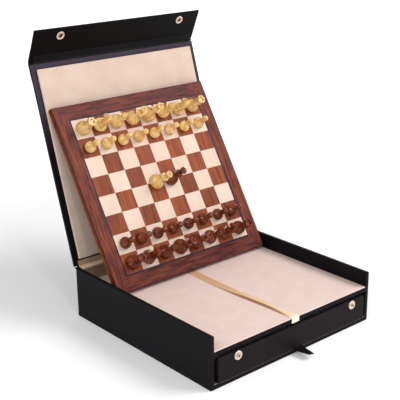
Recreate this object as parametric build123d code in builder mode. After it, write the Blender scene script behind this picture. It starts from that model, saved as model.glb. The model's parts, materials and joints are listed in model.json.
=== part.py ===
# Chess box with a drawer, shown open: a flat case covered in leatherette, with a hinged lid and
# closing flap, a drawer under the velvet deck, a chessboard that leans on the open lid, and its men.
# Millimetres, +Z up. The origin is the centre of the case's bottom face, the front looks along -Y.
import os
from math import cos, radians, sin

from build123d import *

os.makedirs("parts", exist_ok=True)

# ---------------------------------------------------------------- driving dimensions
# chessboard: 1 1/4 inch squares on a 12 inch board
square_side = 31.75
inlay_width = 2.5
rail_width = 22.9
veneer_thick = 2.0
veneer_joint = 0.02  # glue line round each square
steel_thick = 0.8
core_thick = 7.4
backing_thick = 0.8
board_edge_chamfer = 0.8
board_lean = 58.5  # degrees from level

# case: its tray holds the board lying flat
tray_side_gap = 4.6
tray_depth_gap = 5.7
case_height = 81.0
wall_thick = 6.5
base_thick = 6.5
deck_top_height = 56.0
deck_thick = 6.5
cover_edge_radius = 0.8  # leatherette folded over a board's edge
deck_lining_thick = 2.0
back_lining_thick = 1.5
bay_lining_thick = 0.8

# lid and closing flap
lid_open_angle = 107.2  # degrees from closed
lid_thick = 4.5
lid_inset = 2.0  # of the lid's ends from each hinge line
hinge_roll_radius = 1.2
pad_proud = 4.0
pad_border = 9.0
pad_corner_radius = 3.0
pad_edge_radius = 2.0
pad_hinge_margin = 12.0
flap_thick = 3.5
flap_length = 57.0
flap_fold_angle = 41.4  # degrees forward of the lid's own plane
flap_hinge_height = 2.0

# snap fasteners
snap_side_inset = 44.75
snap_offset = 3.5  # of the pair of snaps, to the right of the middle
snap_height = 39.0
snap_flange_radius = 7.0
snap_flange_height = 1.6
snap_post_radius = 2.2
snap_post_rise = 1.6
snap_bore_clearance = 0.6
snap_cap_height = 1.4
snap_cap_radius = 7.0
rivet_radius = 4.0
rivet_height = 1.0

# drawer
drawer_front_height = 38.4
drawer_front_thick = 6.0
drawer_front_proud = 2.0
drawer_side_gap = 5.5
drawer_back_gap = 26.5
drawer_wall_thick = 4.0
drawer_wall_height = 31.0
drawer_floor_thick = 3.0
drawer_lining_thick = 1.5
divider_thick = 4.0
divider_height = 22.0
guide_height = 22.0
guide_front_inset = 12.0
tab_x = 3.5
tab_width = 22.0
tab_tip_width = 11.0
tab_thick = 1.2
tab_reach = 26.0
tab_drop = 2.0
tab_droop_start = 6.0
tab_corner_radius = 3.0

# lifting ribbon
ribbon_width = 15.0
ribbon_thick = 0.5
ribbon_drop = 8.0
ribbon_front_x = 0.5
ribbon_mid_x = -5.0
ribbon_rear_x = -0.5
ribbon_mid_reach = 78.5
ribbon_rear_reach = 254.5

# men: height over the felt, and foot radius
pawn_height, pawn_foot = 28.0, 9.5
rook_height, rook_foot = 32.0, 11.5
knight_height, knight_foot = 36.0, 11.5
bishop_height, bishop_foot = 38.0, 11.5
queen_height, queen_foot = 46.0, 12.5
king_height, king_foot = 50.0, 12.5
foot_height = 3.2
felt_thick = 0.8
felt_inset = 0.6
magnet_radius = 4.0
magnet_thick = 3.0
magnet_clearance = 0.05
spare_queen_offset = 14.3  # of each spare queen from the board's middle

# clearances
running_gap = 0.3  # between pieces that move past each other or stand on each other
lid_gap = 0.5  # under the closed lid
hinge_gap = 0.3  # round each hinge roll

# ---------------------------------------------------------------- sizes that follow
field_side = 8 * square_side
core_side = field_side + 2 * inlay_width
board_side = core_side + 2 * rail_width
body_thick = veneer_thick + steel_thick + core_thick
board_thick = body_thick + backing_thick

case_width = board_side + 2 * (tray_side_gap + wall_thick)
case_depth = board_side + tray_depth_gap + wall_thick
half_width = case_width / 2
half_depth = case_depth / 2
front_y = -half_depth
back_y = half_depth
inner_half_width = half_width - wall_thick
inner_back_y = back_y - wall_thick
deck_bottom_height = deck_top_height - deck_thick
deck_lining_top = deck_top_height + deck_lining_thick

snap_spacing = case_width - 2 * snap_side_inset
snap_xs = (snap_offset - snap_spacing / 2, snap_offset + snap_spacing / 2)
ribbon_mid_y = front_y + ribbon_mid_reach
ribbon_rear_y = front_y + ribbon_rear_reach

drawer_bottom = base_thick + bay_lining_thick + running_gap
drawer_half_width = inner_half_width - drawer_side_gap
drawer_front_y = front_y - drawer_front_proud
drawer_back_y = inner_back_y - drawer_back_gap
drawer_floor_top = drawer_bottom + drawer_floor_thick
drawer_inner_half = drawer_half_width - drawer_wall_thick
drawer_inside_front = drawer_front_y + drawer_front_thick
drawer_inside_back = drawer_back_y - drawer_wall_thick

# the lid turns about a roll just behind the back wall's top edge
lid_axis_y = back_y + hinge_gap + hinge_roll_radius
lid_axis_z = case_height
lid_axis = Vector(0, lid_axis_y, lid_axis_z)
flap_inner_y = drawer_front_y - 2 * snap_flange_height - running_gap
lid_length = lid_axis_y - flap_inner_y

# planes: local x across the box, local y along the lid or flap, local z outwards
lid_along = Vector(0, -cos(radians(lid_open_angle)), sin(radians(lid_open_angle)))
lid_out = Vector(0, sin(radians(lid_open_angle)), cos(radians(lid_open_angle)))
lid_plane = Plane(origin=lid_axis, x_dir=(-1, 0, 0), z_dir=lid_out)
flap_angle = lid_open_angle - flap_fold_angle
flap_out = Vector(0, sin(radians(flap_angle)), cos(radians(flap_angle)))
flap_axis = lid_axis + lid_along * lid_length + lid_out * flap_hinge_height
flap_plane = Plane(origin=flap_axis, x_dir=(-1, 0, 0), z_dir=flap_out)
lid_plane_axis = Axis(lid_axis, lid_out)
flap_plane_axis = Axis(flap_axis, flap_out)
snap_along = lid_axis_z + flap_hinge_height - snap_height

# the board leans back until its top rear edge meets the lid's pad
lean_up = Vector(0, cos(radians(board_lean)), sin(radians(board_lean)))
lean_out = Vector(0, -sin(radians(board_lean)), cos(radians(board_lean)))
board_foot_z = deck_lining_top + ribbon_thick + running_gap
top_edge_z = board_foot_z + board_side * lean_up.Z
pad_offset = pad_proud + running_gap
top_edge_y = lid_axis_y - (pad_offset + (top_edge_z - lid_axis_z) * lid_out.Z) / lid_out.Y
board_foot = Vector(0, top_edge_y - board_side * lean_up.Y, board_foot_z)
back_centre = board_foot + lean_up * (board_side / 2)
board_back_plane = Plane(origin=back_centre, x_dir=(1, 0, 0), z_dir=lean_out)
board_face_plane = board_back_plane.offset(board_thick)


def box_part(x_range, y_range, z_range, plane=Plane.XY):
    """A plain block between two x, two y and two z values of a plane."""
    middle = ((x_range[0] + x_range[1]) / 2, (y_range[0] + y_range[1]) / 2)
    with BuildPart() as block:
        with BuildSketch(plane.offset(z_range[0])):
            with Locations(middle):
                Rectangle(x_range[1] - x_range[0], y_range[1] - y_range[0])
        extrude(amount=z_range[1] - z_range[0])
    return block.part


def covered_board(x_range, y_range, z_range, plane=Plane.XY):
    """A board whose leatherette cover rounds its long edges."""
    with BuildPart() as board:
        add(box_part(x_range, y_range, z_range, plane))
        fillet(board.edges(), cover_edge_radius)
    return board.part


def finish(part, name):
    """Label a piece and write it."""
    part.label = name
    export_step(part, f"parts/{name}.step")


# ---------------------------------------------------------------- case
def make_base_board():
    with BuildPart() as base_board:
        add(box_part((-inner_half_width, inner_half_width), (front_y, inner_back_y), (0, base_thick)))
        fillet(base_board.faces().sort_by(Axis.Y)[0].edges().filter_by(Axis.X), cover_edge_radius)
    finish(base_board.part, "base_board")


def make_side_wall(side, name):
    """A full-height side wall; side is -1 for the left one."""
    across = sorted((side * half_width, side * inner_half_width))
    finish(covered_board(across, (front_y, back_y), (0, case_height)), name)


def make_back_wall():
    with BuildPart() as back_wall:
        add(box_part((-inner_half_width, inner_half_width), (inner_back_y, back_y), (0, case_height)))
        fillet(back_wall.faces().sort_by(Axis.Z)[-1].edges().filter_by(Axis.X), cover_edge_radius)
    finish(back_wall.part, "back_wall")


def make_deck_shelf():
    with BuildPart() as deck_shelf:
        across = (-inner_half_width, inner_half_width)
        add(box_part(across, (front_y, inner_back_y), (deck_bottom_height, deck_top_height)))
        fillet(deck_shelf.faces().sort_by(Axis.Y)[0].edges().filter_by(Axis.X), cover_edge_radius)
    finish(deck_shelf.part, "deck_shelf")


def make_deck_lining():
    with BuildPart() as deck_lining:
        across = (-inner_half_width, inner_half_width)
        lengthwise = (front_y + cover_edge_radius, inner_back_y)
        add(box_part(across, lengthwise, (deck_top_height, deck_lining_top)))
        front_edge = deck_lining.faces().sort_by(Axis.Y)[0].edges().sort_by(Axis.Z)[-1]
        fillet(front_edge, deck_lining_thick * 0.7)
    finish(deck_lining.part, "deck_lining")


def make_back_lining():
    with BuildPart() as back_lining:
        across = (-inner_half_width, inner_half_width)
        lengthwise = (inner_back_y - back_lining_thick, inner_back_y)
        add(box_part(across, lengthwise, (deck_lining_top, case_height - lid_gap)))
        front_face = back_lining.faces().sort_by(Axis.Y)[0]
        fillet(front_face.edges().sort_by(Axis.Z)[-1], back_lining_thick * 0.7)
    finish(back_lining.part, "back_lining")


def make_bay_lining():
    across = (-inner_half_width, inner_half_width)
    lengthwise = (front_y + cover_edge_radius, inner_back_y)
    finish(box_part(across, lengthwise, (base_thick, base_thick + bay_lining_thick)), "bay_lining")


def make_drawer_guides():
    """The two strips on the side walls that keep the drawer straight."""
    inner_face = drawer_half_width + running_gap
    bottom = base_thick + bay_lining_thick
    with BuildPart() as drawer_guides:
        for side in (-1, 1):
            across = sorted((side * inner_face, side * inner_half_width))
            lengthwise = (front_y + guide_front_inset, inner_back_y)
            add(box_part(across, lengthwise, (bottom, bottom + guide_height)))
    finish(drawer_guides.part, "drawer_guides")


def make_lift_ribbon():
    """The flat ribbon across the deck, folded down over its front edge."""
    half = ribbon_width / 2
    fold_y = front_y - ribbon_thick
    with BuildPart() as lift_ribbon:
        with BuildSketch(Plane.XY.offset(deck_lining_top)):
            with BuildLine():
                left = Spline(
                    (ribbon_front_x - half, fold_y),
                    (ribbon_mid_x - half, ribbon_mid_y),
                    (ribbon_rear_x - half, ribbon_rear_y),
                )
                right = Spline(
                    (ribbon_front_x + half, fold_y),
                    (ribbon_mid_x + half, ribbon_mid_y),
                    (ribbon_rear_x + half, ribbon_rear_y),
                )
                Line(left @ 0, right @ 0)
                Line(left @ 1, right @ 1)
            make_face()
        extrude(amount=ribbon_thick)
        with BuildSketch(Plane.XY.offset(deck_lining_top - ribbon_drop)):
            with Locations((ribbon_front_x, front_y - ribbon_thick / 2)):
                Rectangle(ribbon_width, ribbon_thick)
        extrude(amount=ribbon_drop)
    finish(lift_ribbon.part, "lift_ribbon")


def hinge_roll(centre, length):
    """A rolled fabric hinge: a thin rod along X about the hinge line."""
    with BuildPart() as roll:
        with BuildSketch(Plane(origin=centre - Vector(length / 2, 0, 0), z_dir=(1, 0, 0))):
            Circle(hinge_roll_radius)
        extrude(amount=length)
    return roll.part


# ---------------------------------------------------------------- lid and flap
def make_lid_panel():
    across = (-half_width, half_width)
    along = (lid_inset, lid_length - lid_inset)
    finish(covered_board(across, along, (lid_gap, lid_gap + lid_thick), lid_plane), "lid_panel")


def make_lid_pad():
    """The padded velvet panel inside the lid."""
    start = pad_hinge_margin
    end = lid_length - lid_inset - pad_border
    with BuildPart() as lid_pad:
        with BuildSketch(lid_plane.offset(lid_gap)):
            with Locations((0, (start + end) / 2)):
                RectangleRounded(case_width - 2 * pad_border, end - start, pad_corner_radius)
        extrude(amount=-pad_proud - lid_gap)
        fillet(lid_pad.faces().sort_by(lid_plane_axis)[0].edges(), pad_edge_radius)
    finish(lid_pad.part, "lid_pad")


def make_flap_panel():
    across = (-half_width, half_width)
    along = (lid_inset, flap_length)
    finish(covered_board(across, along, (0, flap_thick), flap_plane), "flap_panel")


def make_flap_sockets():
    """The ring halves of the snaps, on the flap's inner face."""
    bore = snap_post_radius + snap_bore_clearance
    with BuildPart() as flap_sockets:
        for x in snap_xs:
            with BuildSketch(flap_plane):
                with Locations((-x, snap_along)):
                    Circle(snap_flange_radius)
                    Circle(bore, mode=Mode.SUBTRACT)
            extrude(amount=-snap_flange_height)
        faces = flap_sockets.faces().filter_by(GeomType.PLANE).sort_by(flap_plane_axis)[0:2]
        outer_rims = faces.edges().sort_by(SortBy.LENGTH)[-2:]
        fillet(outer_rims, snap_flange_height * 0.6)
    finish(flap_sockets.part, "flap_sockets")


def make_flap_caps():
    """The domed caps of the snaps, on the flap's outer face."""
    with BuildPart() as flap_caps:
        for x in snap_xs:
            with BuildSketch(flap_plane.offset(flap_thick)):
                with Locations((-x, snap_along)):
                    Circle(snap_cap_radius)
            extrude(amount=snap_cap_height)
        faces = flap_caps.faces().filter_by(GeomType.PLANE).sort_by(flap_plane_axis)[-2:]
        fillet(faces.edges(), snap_cap_height * 0.8)
    finish(flap_caps.part, "flap_caps")


# ---------------------------------------------------------------- drawer
def make_drawer_front():
    """The covered front, relieved underneath for the pull tab."""
    across = (-drawer_half_width, drawer_half_width)
    lengthwise = (drawer_front_y, drawer_inside_front)
    upright = (drawer_bottom, drawer_bottom + drawer_front_height)
    tab_across = (tab_x - tab_width / 2, tab_x + tab_width / 2)
    with BuildPart() as drawer_front:
        add(covered_board(across, lengthwise, upright))
        tab_room = (drawer_bottom - cover_edge_radius, drawer_bottom + tab_thick)
        add(box_part(tab_across, lengthwise, tab_room), mode=Mode.SUBTRACT)
    finish(drawer_front.part, "drawer_front")


def make_drawer_side(side, name):
    across = sorted((side * drawer_half_width, side * drawer_inner_half))
    upright = (drawer_bottom, drawer_bottom + drawer_wall_height)
    finish(box_part(across, (drawer_inside_front, drawer_back_y), upright), name)


def make_drawer_back():
    across = (-drawer_inner_half, drawer_inner_half)
    upright = (drawer_bottom, drawer_bottom + drawer_wall_height)
    finish(box_part(across, (drawer_inside_back, drawer_back_y), upright), "drawer_back")


def make_drawer_floor():
    across = (-drawer_inner_half, drawer_inner_half)
    upright = (drawer_bottom, drawer_floor_top)
    finish(box_part(across, (drawer_inside_front, drawer_inside_back), upright), "drawer_floor")


def make_drawer_lining():
    across = (-drawer_inner_half, drawer_inner_half)
    upright = (drawer_floor_top, drawer_floor_top + drawer_lining_thick)
    finish(box_part(across, (drawer_inside_front, drawer_inside_back), upright), "drawer_lining")


def make_drawer_divider():
    """A padded bar from front to back, between the two sides' men."""
    bottom = drawer_floor_top + drawer_lining_thick
    with BuildPart() as drawer_divider:
        across = (-divider_thick / 2, divider_thick / 2)
        lengthwise = (drawer_inside_front, drawer_inside_back)
        add(box_part(across, lengthwise, (bottom, bottom + divider_height)))
        fillet(drawer_divider.faces().sort_by(Axis.Z)[-1].edges().filter_by(Axis.Y), divider_thick * 0.4)
    finish(drawer_divider.part, "drawer_divider")


def make_drawer_studs():
    """The stud halves of the snaps: a flange and its post."""
    with BuildPart() as drawer_studs:
        for x in snap_xs:
            front = Plane(origin=(x, drawer_front_y, snap_height), z_dir=(0, -1, 0))
            with BuildSketch(front):
                Circle(snap_flange_radius)
            extrude(amount=snap_flange_height)
        rims = drawer_studs.faces().filter_by(GeomType.PLANE).sort_by(Axis.Y)[0:2].edges()
        fillet(rims, snap_flange_height * 0.6)
        for x in snap_xs:
            front = Plane(origin=(x, drawer_front_y, snap_height), z_dir=(0, -1, 0))
            with BuildSketch(front.offset(snap_flange_height)):
                Circle(snap_post_radius)
            extrude(amount=snap_post_rise)
        post_ends = drawer_studs.faces().filter_by(GeomType.PLANE).sort_by(Axis.Y)[0:2].edges()
        fillet(post_ends, snap_post_rise * 0.6)
    finish(drawer_studs.part, "drawer_studs")


def make_drawer_rivets():
    """The snaps' rivet heads inside the drawer front."""
    with BuildPart() as drawer_rivets:
        for x in snap_xs:
            origin = (x, drawer_inside_front, snap_height)
            with BuildSketch(Plane(origin=origin, z_dir=(0, 1, 0))):
                Circle(rivet_radius)
            extrude(amount=rivet_height)
    finish(drawer_rivets.part, "drawer_rivets")


def make_pull_tab():
    """A tapered leather tongue under the drawer front, drooping a little as it sticks out."""
    droop_y = drawer_front_y - tab_droop_start
    tip_y = drawer_front_y - tab_reach
    with BuildPart() as pull_tab:
        with BuildSketch(Plane.YZ.offset(tab_x - tab_width / 2)):
            with BuildLine():
                Polyline(
                    (drawer_inside_front, drawer_bottom + tab_thick),
                    (drawer_inside_front, drawer_bottom),
                    (droop_y, drawer_bottom),
                    (tip_y, drawer_bottom - tab_drop),
                    (tip_y, drawer_bottom - tab_drop + tab_thick),
                    (droop_y, drawer_bottom + tab_thick),
                    close=True,
                )
            make_face()
        extrude(amount=tab_width)
        with BuildSketch(Plane.XY):
            Polygon(
                (tab_x - tab_width / 2, drawer_inside_front),
                (tab_x - tab_width / 2, drawer_front_y),
                (tab_x - tab_tip_width / 2, tip_y),
                (tab_x + tab_tip_width / 2, tip_y),
                (tab_x + tab_width / 2, drawer_front_y),
                (tab_x + tab_width / 2, drawer_inside_front),
                align=None,
            )
        extrude(amount=2 * drawer_bottom, mode=Mode.INTERSECT)
        fillet(pull_tab.faces().sort_by(Axis.Y)[0].edges().filter_by(Axis.Z), tab_corner_radius)
    finish(pull_tab.part, "pull_tab")


# ---------------------------------------------------------------- chessboard
def make_frame_rail(turn, name):
    """One mitred rail, drawn at the board's lower edge and turned to its side."""
    outer = board_side / 2
    inner = core_side / 2
    along = Vector(1, 0, 0) * cos(radians(turn)) + lean_up * sin(radians(turn))
    rail_plane = Plane(origin=back_centre + lean_out * backing_thick, x_dir=along, z_dir=lean_out)
    with BuildPart() as rail:
        with BuildSketch(rail_plane):
            Polygon((-outer, -outer), (outer, -outer), (inner, -inner), (-inner, -inner), align=None)
        extrude(amount=body_thick)
        top_face = rail.faces().sort_by(Axis(rail_plane.origin, rail_plane.z_dir))[-1]
        long_edge = top_face.edges().sort_by(SortBy.LENGTH)[-1]
        chamfer(long_edge, board_edge_chamfer)
    finish(rail.part, name)


def make_inlay_line():
    """The thin dark line between the squares and the frame."""
    with BuildPart() as inlay_line:
        with BuildSketch(board_face_plane.offset(-veneer_thick)):
            Rectangle(core_side, core_side)
            Rectangle(field_side, field_side, mode=Mode.SUBTRACT)
        extrude(amount=veneer_thick)
    finish(inlay_line.part, "inlay_line")


def square_places(parity):
    """Centres of the squares of one colour; the lower left corner square is dark."""
    places = []
    for file in range(8):
        for rank in range(8):
            if (file + rank) % 2 == parity:
                places.append(square_centre(file + 0.5, rank + 0.5))
    return places


def square_centre(file, rank):
    """A place on the board's face, counted in squares from its lower left corner."""
    return ((file - 4) * square_side, (rank - 4) * square_side)


def make_squares(parity, name):
    """Veneer squares of one wood, side by side with the other wood's."""
    with BuildPart() as squares:
        with BuildSketch(board_face_plane.offset(-veneer_thick)):
            with Locations(*square_places(parity)):
                Rectangle(square_side - 2 * veneer_joint, square_side - 2 * veneer_joint)
        extrude(amount=veneer_thick)
    finish(squares.part, name)


def make_board_sheet(side, bottom, thick, name):
    """A square sheet inside the board, at its height over the back."""
    half = side / 2
    finish(box_part((-half, half), (-half, half), (bottom, bottom + thick), board_back_plane), name)


# ---------------------------------------------------------------- men
def magnet_pocket():
    """The blind hole under a man's foot."""
    radius = magnet_radius + magnet_clearance
    depth = magnet_thick + magnet_clearance
    Cylinder(radius, depth, align=(Align.CENTER, Align.CENTER, Align.MIN), mode=Mode.SUBTRACT)


def stem_lines(foot, neck, shoulder):
    """The turned outline from the axis under the foot up to the neck, drawn in X and Z."""
    rim = foot * 0.96
    Line((0, 0), (rim, 0))
    ThreePointArc((rim, 0), (foot, foot_height / 2), (rim, foot_height))
    Bezier(
        (rim, foot_height),
        (foot * 0.98, shoulder * 0.46),
        (neck * 0.8, shoulder * 0.42),
        (neck, shoulder),
    )


def make_pawn():
    ball = pawn_foot * 0.52
    shoulder = pawn_height - 1.75 * ball
    neck = pawn_foot * 0.28
    collar = pawn_foot * 0.5
    with BuildPart() as pawn:
        with BuildSketch(Plane.XZ):
            with BuildLine():
                stem_lines(pawn_foot, neck, shoulder - 1.2)
                Line((neck, shoulder - 1.2), (collar, shoulder - 0.9))
                Line((collar, shoulder - 0.9), (collar, shoulder - 0.2))
                Line((collar, shoulder - 0.2), (neck, shoulder + 0.3))
                Line((neck, shoulder + 0.3), (0, shoulder + 0.3))
                Line((0, shoulder + 0.3), (0, 0))
            make_face()
        revolve(axis=Axis.Z)
        with Locations((0, 0, pawn_height - ball)):
            Sphere(ball)
        magnet_pocket()
    return pawn.part


def make_rook():
    shoulder = rook_height * 0.66
    neck = rook_foot * 0.42
    crown = rook_foot * 0.62
    well = crown * 0.6
    with BuildPart() as rook:
        with BuildSketch(Plane.XZ):
            with BuildLine():
                stem_lines(rook_foot, neck, shoulder)
                Line((neck, shoulder), (crown * 0.95, shoulder + 1.4))
                Line((crown * 0.95, shoulder + 1.4), (crown * 0.86, shoulder + 2.4))
                Line((crown * 0.86, shoulder + 2.4), (crown, rook_height - 0.8))
                Line((crown, rook_height - 0.8), (crown * 0.94, rook_height))
                Line((crown * 0.94, rook_height), (well, rook_height))
                Line((well, rook_height), (well, rook_height - 3))
                Line((well, rook_height - 3), (0, rook_height - 3))
                Line((0, rook_height - 3), (0, 0))
            make_face()
        revolve(axis=Axis.Z)
        with Locations((0, 0, rook_height)):
            for turn in (0, 60, 120):
                Box(3 * crown, crown * 0.26, 4, rotation=(0, 0, turn), mode=Mode.SUBTRACT)
        magnet_pocket()
    return rook.part


def make_knight():
    """A turned foot with a plain carved horse's head looking along +X."""
    shoulder = knight_height * 0.34
    neck = knight_foot * 0.52
    thick = knight_foot * 0.62
    top = knight_height
    with BuildPart() as knight:
        with BuildSketch(Plane.XZ):
            with BuildLine():
                stem_lines(knight_foot, neck, shoulder - 1.6)
                Line((neck, shoulder - 1.6), (neck * 1.35, shoulder - 1.2))
                Line((neck * 1.35, shoulder - 1.2), (neck * 1.35, shoulder - 0.3))
                Line((neck * 1.35, shoulder - 0.3), (neck, shoulder + 0.3))
                Line((neck, shoulder + 0.3), (0, shoulder + 0.3))
                Line((0, shoulder + 0.3), (0, 0))
            make_face()
        revolve(axis=Axis.Z)
        with BuildSketch(Plane.XZ.offset(-thick / 2)):
            with BuildLine():
                mane = Spline(
                    (-neck, shoulder),
                    (-neck * 1.15, shoulder + (top - shoulder) * 0.45),
                    (-neck * 0.55, shoulder + (top - shoulder) * 0.82),
                    (neck * 0.1, top),
                )
                brow = Spline(
                    mane @ 1,
                    (neck * 0.7, knight_height * 0.905),
                    (neck * 1.55, knight_height * 0.745),
                )
                nose = Line(brow @ 1, (neck * 1.25, knight_height * 0.667))
                jaw = Line(nose @ 1, (neck * 0.35, knight_height * 0.705))
                chest = Spline(
                    jaw @ 1,
                    (neck * 0.55, shoulder + (top - shoulder) * 0.3),
                    (neck, shoulder),
                )
                Line(chest @ 1, mane @ 0)
            make_face()
        extrude(amount=thick)
        sides = knight.faces().filter_by(GeomType.PLANE).filter_by(Axis.Y)
        chamfer(sides.edges().filter_by(lambda e: e.center().Z > shoulder + 1.5), 0.7)
        magnet_pocket()
    return knight.part


def make_bishop():
    shoulder = bishop_height * 0.6
    neck = bishop_foot * 0.27
    mitre = bishop_foot * 0.44
    collar = bishop_foot * 0.56
    tip = bishop_foot * 0.13
    crown = bishop_height - 2 * tip
    with BuildPart() as bishop:
        with BuildSketch(Plane.XZ):
            with BuildLine():
                stem_lines(bishop_foot, neck, shoulder - 1.4)
                Line((neck, shoulder - 1.4), (collar, shoulder - 1.0))
                Line((collar, shoulder - 1.0), (collar, shoulder - 0.1))
                Line((collar, shoulder - 0.1), (neck, shoulder + 0.6))
                Spline(
                    (neck, shoulder + 0.6),
                    (mitre, shoulder + (crown - shoulder) * 0.38),
                    (mitre * 0.7, shoulder + (crown - shoulder) * 0.78),
                    (tip * 0.7, crown + 0.3),
                )
                Line((tip * 0.7, crown + 0.3), (0, crown + 0.3))
                Line((0, crown + 0.3), (0, 0))
            make_face()
        revolve(axis=Axis.Z)
        with Locations((0, 0, bishop_height - tip)):
            Sphere(tip)
        with Locations(Location((mitre * 0.75, 0, crown - 2.2), (0, 40, 0))):
            Box(0.9, 3 * mitre, mitre * 1.5, mode=Mode.SUBTRACT)
        magnet_pocket()
    return bishop.part


def crowned_lines(foot, height, crown_top, neck, collar, crown):
    """The shared outline of queen and king: stem, two collars and a flared crown."""
    shoulder = height * 0.6
    stem_lines(foot, neck, shoulder - 2.4)
    Line((neck, shoulder - 2.4), (collar, shoulder - 1.8))
    Line((collar, shoulder - 1.8), (collar, shoulder - 0.9))
    Line((collar, shoulder - 0.9), (neck * 1.25, shoulder - 0.4))
    Line((neck * 1.25, shoulder - 0.4), (collar * 0.8, shoulder + 0.1))
    Line((collar * 0.8, shoulder + 0.1), (neck, shoulder + 1.0))
    Bezier(
        (neck, shoulder + 1.0),
        (neck * 1.05, shoulder + (crown_top - shoulder) * 0.6),
        (crown * 0.9, crown_top - 2.0),
        (crown, crown_top),
    )


def make_queen():
    neck = queen_foot * 0.26
    collar = queen_foot * 0.56
    crown = queen_foot * 0.47
    ball = queen_foot * 0.16
    crown_top = queen_height - 2 * ball - 1.2
    with BuildPart() as queen:
        with BuildSketch(Plane.XZ):
            with BuildLine():
                crowned_lines(queen_foot, queen_height, crown_top, neck, collar, crown)
                Line((crown, crown_top), (crown * 0.72, crown_top - 0.6))
                Line((crown * 0.72, crown_top - 0.6), (ball * 0.6, crown_top + 1.6))
                Line((ball * 0.6, crown_top + 1.6), (0, crown_top + 1.6))
                Line((0, crown_top + 1.6), (0, 0))
            make_face()
        revolve(axis=Axis.Z)
        with Locations((0, 0, crown_top + 0.4)):
            with PolarLocations(crown, 8):
                Sphere(crown * 0.22, mode=Mode.SUBTRACT)
        with Locations((0, 0, queen_height - ball)):
            Sphere(ball)
        magnet_pocket()
    return queen.part


def make_king():
    neck = king_foot * 0.27
    collar = king_foot * 0.58
    crown = king_foot * 0.48
    arm = king_foot * 0.2
    crown_top = king_height - 3.2 * arm
    with BuildPart() as king:
        with BuildSketch(Plane.XZ):
            with BuildLine():
                crowned_lines(king_foot, king_height, crown_top, neck, collar, crown)
                ThreePointArc((crown, crown_top), (crown * 0.7, crown_top + 1.3), (arm * 0.7, crown_top + 2.0))
                Line((arm * 0.7, crown_top + 2.0), (0, crown_top + 2.0))
                Line((0, crown_top + 2.0), (0, 0))
            make_face()
        revolve(axis=Axis.Z)
        with Locations((0, 0, king_height - 1.4 * arm)):
            Box(arm * 0.8, arm * 0.8, arm * 2.8)
            Box(arm * 2.4, arm * 0.8, arm * 0.8)
        magnet_pocket()
    return king.part


def stand_at(places, lift, turn=0):
    """Locations on the board's face for a list of (file, rank) places, in squares."""
    spots = []
    for file, rank in places:
        x, y = square_centre(file, rank)
        spots.append(board_face_plane.location * Location((x, y, lift), (0, 0, turn)))
    return spots


def make_men(man, places, turn, name):
    """All men of one kind and colour."""
    with BuildPart() as men:
        with Locations(*stand_at(places, running_gap + felt_thick, turn)):
            add(man)
    finish(men.part, name)


def disc(radius, thick):
    """A plain disc for felts and magnets."""
    with BuildPart() as round_disc:
        with BuildSketch():
            Circle(radius)
        extrude(amount=thick)
    return round_disc.part


def make_felts(placed_men, name):
    """The felt disc under each man's foot."""
    with BuildPart() as felts:
        for foot, places in placed_men:
            with Locations(*stand_at(places, running_gap)):
                add(disc(foot * 0.96 - felt_inset, felt_thick))
    finish(felts.part, name)


def make_magnets(placed_men, name):
    """The magnet in each man's foot."""
    with BuildPart() as magnets:
        for _, places in placed_men:
            with Locations(*stand_at(places, running_gap + felt_thick)):
                add(disc(magnet_radius, magnet_thick))
    finish(magnets.part, name)


def make_army(colour, back_rank, pawn_rank, spare_side, facing, bodies):
    """One side's seventeen men, set up on its two ranks with a spare queen in the middle."""
    rank_places = {
        "pawns": [(file + 0.5, pawn_rank) for file in range(8)],
        "rooks": [(0.5, back_rank), (7.5, back_rank)],
        "knights": [(1.5, back_rank), (6.5, back_rank)],
        "bishops": [(2.5, back_rank), (5.5, back_rank)],
        "queen": [(3.5, back_rank)],
        "king": [(4.5, back_rank)],
        "spare_queen": [(4 + spare_side * spare_queen_offset / square_side, 4)],
    }
    feet = {
        "pawns": pawn_foot,
        "rooks": rook_foot,
        "knights": knight_foot,
        "bishops": bishop_foot,
        "queen": queen_foot,
        "king": king_foot,
        "spare_queen": queen_foot,
    }
    for kind, places in rank_places.items():
        make_men(bodies[kind], places, facing, f"{colour}_{kind}")
    placed_men = [(feet[kind], places) for kind, places in rank_places.items()]
    make_felts(placed_men, f"{colour}_felts")
    make_magnets(placed_men, f"{colour}_magnets")


# ---------------------------------------------------------------- the assembly
make_base_board()
make_side_wall(-1, "left_wall")
make_side_wall(1, "right_wall")
make_back_wall()
make_deck_shelf()
make_deck_lining()
make_back_lining()
make_bay_lining()
make_drawer_guides()
make_lift_ribbon()
finish(hinge_roll(lid_axis, case_width), "lid_hinge")

make_lid_panel()
make_lid_pad()
finish(hinge_roll(flap_axis, case_width), "flap_hinge")
make_flap_panel()
make_flap_sockets()
make_flap_caps()

make_drawer_front()
make_drawer_side(-1, "drawer_left_side")
make_drawer_side(1, "drawer_right_side")
make_drawer_back()
make_drawer_floor()
make_drawer_lining()
make_drawer_divider()
make_drawer_studs()
make_drawer_rivets()
make_pull_tab()

make_frame_rail(0, "board_front_rail")
make_frame_rail(90, "board_right_rail")
make_frame_rail(180, "board_rear_rail")
make_frame_rail(270, "board_left_rail")
make_inlay_line()
make_squares(1, "light_squares")
make_squares(0, "dark_squares")
make_board_sheet(core_side, backing_thick + core_thick, steel_thick, "board_steel_plate")
make_board_sheet(core_side, backing_thick, core_thick, "board_core")
make_board_sheet(board_side - 2 * board_edge_chamfer, 0, backing_thick, "board_backing")

queen_body = make_queen()
man_bodies = {
    "pawns": make_pawn(),
    "rooks": make_rook(),
    "knights": make_knight(),
    "bishops": make_bishop(),
    "queen": queen_body,
    "king": make_king(),
    "spare_queen": queen_body,
}
make_army("dark", 0.5, 1.5, 1, 90, man_bodies)
make_army("light", 7.5, 6.5, -1, 90, man_bodies)

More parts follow.
